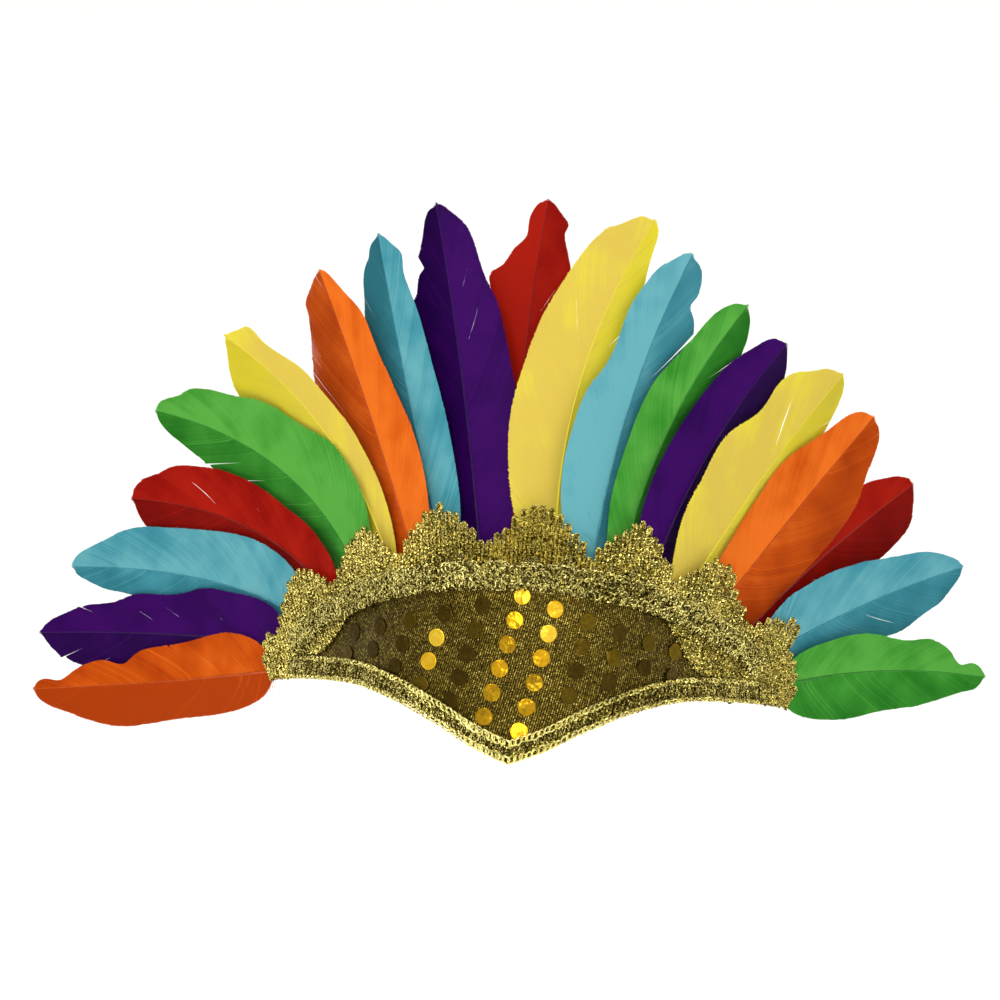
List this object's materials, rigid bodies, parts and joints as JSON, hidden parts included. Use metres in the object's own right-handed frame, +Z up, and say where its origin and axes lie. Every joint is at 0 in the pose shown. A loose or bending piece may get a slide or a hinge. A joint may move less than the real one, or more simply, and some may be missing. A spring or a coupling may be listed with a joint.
{
  "type": "carnival feather headdress",
  "caption": "Curved tiara panel in gold sequinned knit, edged with braid and scalloped lace, with a fan of dyed feathers behind it and an elastic strap round the head.",
  "frame": {"origin": "middle of the head opening at the middle height of the elastic strap", "axes": "+Z up, the sequinned panel faces -Y, +X to the viewer's right"},
  "size_m": [0.4627, 0.1961, 0.2631],
  "materials": {
    "sequinned_knit": "olive gold metallic knit with round gold sequins",
    "gold_gimp": "looped metallic gold gimp braid",
    "gold_lace": "metallic gold crochet lace",
    "elastic": "matt woven elastic",
    "orange_feather": "dyed goose feather, matt satin",
    "purple_feather": "dyed goose feather, matt satin",
    "turquoise_feather": "dyed goose feather, matt satin",
    "red_feather": "dyed goose feather, matt satin",
    "green_feather": "dyed goose feather, matt satin",
    "yellow_feather": "dyed goose feather, matt satin"
  },
  "bodies": {
    "root": {"front_panel": "sequinned_knit", "lower_braid": "gold_gimp", "upper_braid": "gold_gimp", "scalloped_lace": "gold_lace", "head_elastic": "elastic", "feather_01": "orange_feather", "feather_02": "purple_feather", "feather_03": "turquoise_feather", "feather_04": "red_feather", "feather_05": "green_feather", "feather_06": "yellow_feather", "feather_07": "orange_feather", "feather_08": "turquoise_feather", "feather_09": "purple_feather", "feather_10": "red_feather", "feather_11": "yellow_feather", "feather_12": "turquoise_feather", "feather_13": "green_feather", "feather_14": "purple_feather", "feather_15": "yellow_feather", "feather_16": "orange_feather", "feather_17": "red_feather", "feather_18": "turquoise_feather", "feather_19": "green_feather"}
  },
  "joints": []
}
